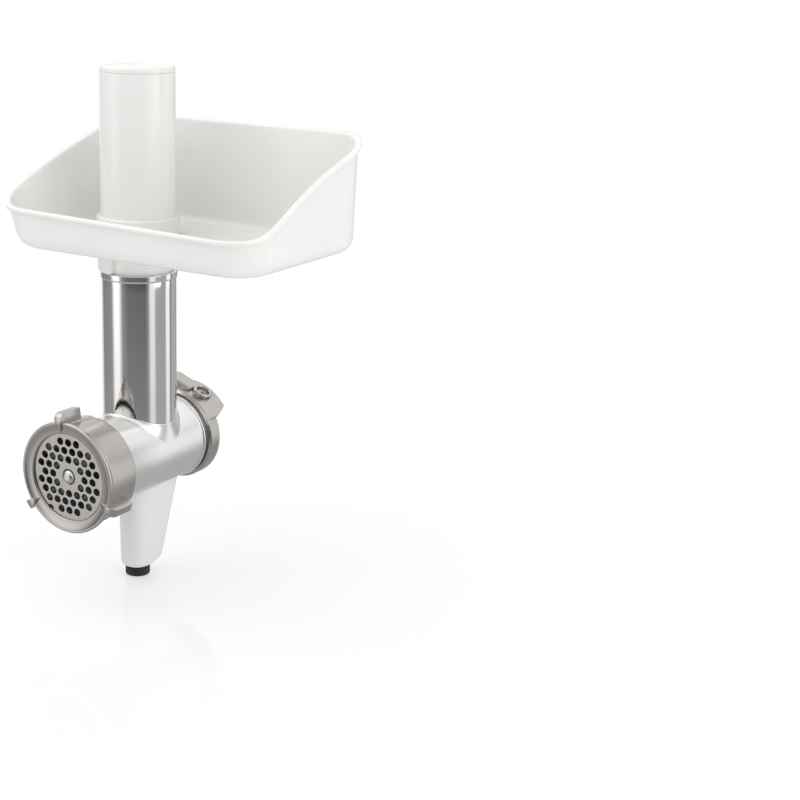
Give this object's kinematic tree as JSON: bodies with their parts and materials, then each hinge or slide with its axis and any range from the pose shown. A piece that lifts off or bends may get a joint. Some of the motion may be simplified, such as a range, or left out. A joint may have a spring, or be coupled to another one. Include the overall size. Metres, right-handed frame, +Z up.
{
  "type": "meat mincer attachment",
  "caption": "Steel mincer barrel with upright feed tube, white tray and pusher, lugged screw ring over a hole plate, white support leg and rear bayonet coupling.",
  "frame": {"origin": "centre of the rear coupling's mouth, on the worm's axis", "axes": "+Y along the worm axis back into the machine, -Y the front with the hole plate, +Z up along the feed tube, +X the side the tray reaches out to"},
  "size_m": [0.2062, 0.1447, 0.3424],
  "materials": {
    "white_plastic": "smooth moulded, satin gloss",
    "polished_steel": "mirror polished stainless",
    "satin_steel": "satin brushed stainless",
    "cast_steel": "satin cast stainless",
    "plate_steel": "ground steel",
    "cutter_steel": "ground cutter steel",
    "worm_metal": "smooth cast",
    "bearing_plastic": "natural acetal",
    "driver_plastic": "glass filled nylon",
    "seal_rubber": "soft black",
    "foot_rubber": "soft black",
    "zinc_steel": "bright zinc plated"
  },
  "bodies": {
    "housing": {"barrel": "satin_steel", "feed_tube": "polished_steel", "rim_band": "polished_steel", "thread_collar": "satin_steel", "plate_key": "cutter_steel", "coupling_ring": "cast_steel", "bush": "bearing_plastic", "shaft_seal": "seal_rubber", "leg": "white_plastic", "leg_stud": "cutter_steel", "leg_screw": "zinc_steel", "leg_washer": "zinc_steel", "foot": "foot_rubber"},
    "worm_set": {"worm": "worm_metal", "worm_shaft": "cutter_steel", "knife": "cutter_steel", "thrust_washer": "bearing_plastic", "drive_dog": "driver_plastic", "dog_screw": "zinc_steel", "dog_washer": "zinc_steel"},
    "plate": {"hole_plate": "plate_steel"},
    "ring": {"screw_ring": "cast_steel"},
    "tray_body": {"tray": "white_plastic"},
    "pusher_body": {"pusher": "white_plastic", "pusher_cap": "white_plastic"}
  },
  "joints": [
    {"name": "worm_spin", "type": "hinge", "parent": "housing", "child": "worm_set", "pos_m": [0, -0.05, 0], "axis": [0, 1, 0], "continuous": true},
    {"name": "plate_out", "type": "slide", "parent": "housing", "child": "plate", "axis": [0, -1, 0], "range_m": [0, 0.0252]},
    {"name": "ring_turn", "type": "hinge", "parent": "plate", "child": "ring", "pos_m": [0, -0.1, 0], "axis": [0, -1, 0], "range_deg": [0, 2592]},
    {"name": "tray_lift", "type": "slide", "parent": "housing", "child": "tray_body", "axis": [0, 0, 1], "range_m": [0, 0.095]},
    {"name": "pusher_lift", "type": "slide", "parent": "tray_body", "child": "pusher_body", "axis": [0, 0, 1], "range_m": [0, 0.125]}
  ],
  "couplings": [
    {"joint": "plate_out", "follows": "ring_turn", "m_per_rad": 0.00055704}
  ]
}
